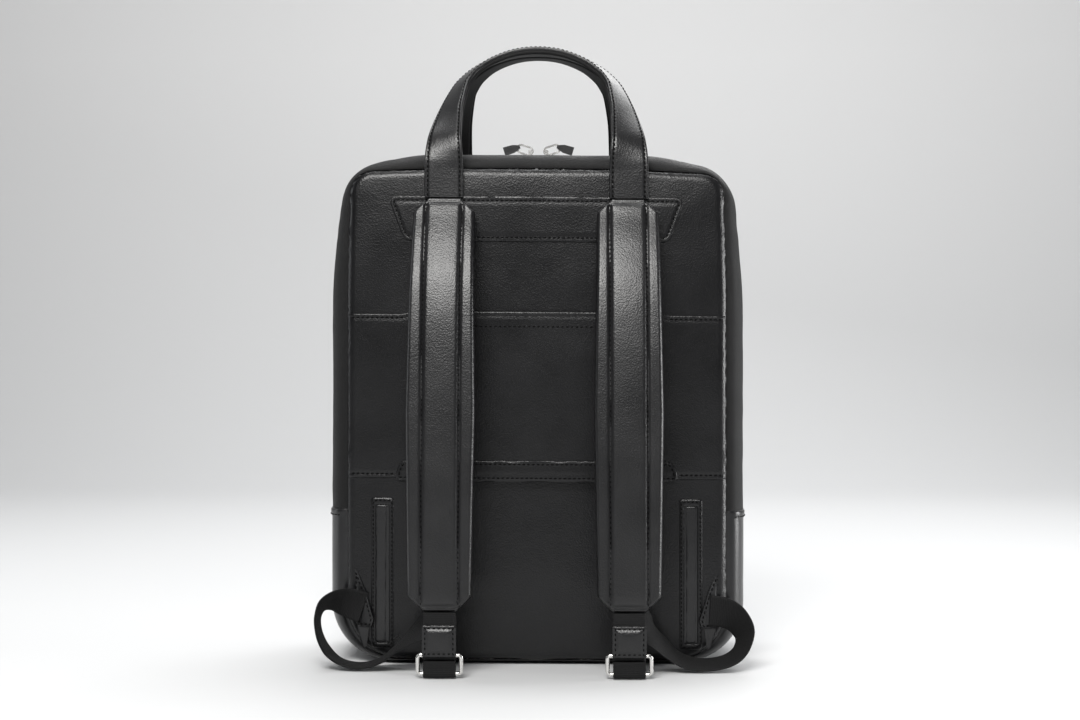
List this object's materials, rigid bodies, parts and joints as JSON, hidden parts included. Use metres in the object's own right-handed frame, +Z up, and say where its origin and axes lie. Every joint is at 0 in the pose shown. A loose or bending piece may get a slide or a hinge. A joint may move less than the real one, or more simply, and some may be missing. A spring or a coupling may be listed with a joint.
{
  "type": "leather backpack",
  "caption": "Flat rectangular leather backpack with a wrap-round zip, two carry handles, padded shoulder straps on webbing and a luggage sleeve.",
  "frame": {"origin": "centre of the underside, on the surface that the bag stands on", "axes": "+Z up along the bag's height; -Y towards the harness side, with the straps; +X to the right seen from that side"},
  "size_m": [0.3404, 0.1932, 0.4946],
  "materials": {
    "leather": "soft natural grain, low sheen",
    "nylon": "smooth coated weave, slight sheen",
    "foam": "matt",
    "lining": "matt fine weave",
    "strap_lining": "matt air mesh",
    "zip_tape": "matt woven",
    "zip_teeth": "satin",
    "webbing": "ribbed weave, slight sheen",
    "metal": "polished nickel",
    "board": "matt"
  },
  "bodies": {
    "bag": {"back_panel_leather": "leather", "back_panel_foam": "foam", "back_panel_lining": "lining", "base_board": "board", "base_gusset": "leather", "front_panel_lower": "leather", "gusset_back": "nylon", "handle_back_root_left": "leather", "handle_back_root_right": "leather", "laptop_divider": "foam", "luggage_sleeve": "leather", "root_patch_back": "leather", "side_tab_left": "leather", "side_tab_right": "leather", "strap_pocket_frame_left": "leather", "strap_pocket_frame_right": "leather", "strap_pocket_welt_left": "leather", "strap_pocket_welt_right": "leather", "webbing_loop_left": "webbing", "webbing_loop_right": "webbing", "zip_tape_back": "zip_tape", "zip_teeth_back": "zip_teeth"},
    "flap": {"front_panel_upper": "leather", "gusset_front": "nylon", "zip_tape_front": "zip_tape", "zip_teeth_front": "zip_teeth", "root_patch_front": "leather", "handle_front_root_left": "leather", "handle_front_root_right": "leather", "pocket_frame": "leather", "pocket_tape": "zip_tape", "pocket_teeth": "zip_teeth"},
    "handle_back": {"handle_back_leather": "leather", "handle_back_lining": "leather"},
    "handle_front": {"handle_front_leather": "leather", "handle_front_lining": "leather"},
    "pocket_slider": {"pocket_slider": "metal"},
    "pocket_pull": {"pocket_pull": "leather"},
    "strap_left": {"strap_left_leather": "leather", "strap_left_foam": "foam", "strap_left_lining": "strap_lining", "strap_left_tongue": "webbing", "strap_left_patch": "leather"},
    "buckle_left": {"buckle_left": "metal", "webbing_turn_left": "webbing"},
    "slider_left": {"slider_left": "metal"},
    "pull_left": {"pull_ring_left": "metal", "pull_tab_left": "leather"},
    "strap_right": {"strap_right_leather": "leather", "strap_right_foam": "foam", "strap_right_lining": "strap_lining", "strap_right_tongue": "webbing", "strap_right_patch": "leather"},
    "buckle_right": {"buckle_right": "metal", "webbing_turn_right": "webbing"},
    "slider_right": {"slider_right": "metal"},
    "pull_right": {"pull_ring_right": "metal", "pull_tab_right": "leather"}
  },
  "joints": [
    {"name": "flap_fold", "type": "hinge", "parent": "bag", "child": "flap", "pos_m": [0, 0.0625, 0.11985], "axis": [-1, 0, 0], "range_deg": [0, 60]},
    {"name": "handle_back_swing", "type": "hinge", "parent": "bag", "child": "handle_back", "pos_m": [0, -0.0679, 0.38885], "axis": [1, 0, 0], "range_deg": [0, 80]},
    {"name": "handle_front_swing", "type": "hinge", "parent": "flap", "child": "handle_front", "pos_m": [0, 0.0679, 0.38885], "axis": [-1, 0, 0], "range_deg": [0, 80]},
    {"name": "strap_left_swing", "type": "hinge", "parent": "bag", "child": "strap_left", "pos_m": [-0.0715, -0.0668, 0.366], "axis": [-1, 0, 0], "range_deg": [0, 30]},
    {"name": "buckle_left_swing", "type": "hinge", "parent": "strap_left", "child": "buckle_left", "pos_m": [-0.0715, -0.1185, 0.0177], "axis": [-1, 0, 0], "range_deg": [0, 30]},
    {"name": "slider_left_run", "type": "slide", "parent": "bag", "child": "slider_left", "axis": [-1, 0, 0], "range_m": [0, 0.08]},
    {"name": "pull_left_lift", "type": "hinge", "parent": "slider_left", "child": "pull_left", "pos_m": [-0.0065, 0, 0.4114], "axis": [0, 1, 0], "range_deg": [0, 70]},
    {"name": "strap_right_swing", "type": "hinge", "parent": "bag", "child": "strap_right", "pos_m": [0.0715, -0.0668, 0.366], "axis": [-1, 0, 0], "range_deg": [0, 30]},
    {"name": "buckle_right_swing", "type": "hinge", "parent": "strap_right", "child": "buckle_right", "pos_m": [0.0715, -0.1185, 0.0177], "axis": [-1, 0, 0], "range_deg": [0, 30]},
    {"name": "slider_right_run", "type": "slide", "parent": "bag", "child": "slider_right", "axis": [1, 0, 0], "range_m": [0, 0.08]},
    {"name": "pull_right_lift", "type": "hinge", "parent": "slider_right", "child": "pull_right", "pos_m": [0.0065, 0, 0.4114], "axis": [0, -1, 0], "range_deg": [0, 70]},
    {"name": "pocket_slider_run", "type": "slide", "parent": "flap", "child": "pocket_slider", "axis": [1, 0, 0], "range_m": [0, 0.186]},
    {"name": "pocket_pull_lift", "type": "hinge", "parent": "pocket_slider", "child": "pocket_pull", "pos_m": [-0.093, 0.0682, 0.3003], "axis": [1, 0, 0], "range_deg": [0, 80]}
  ]
}
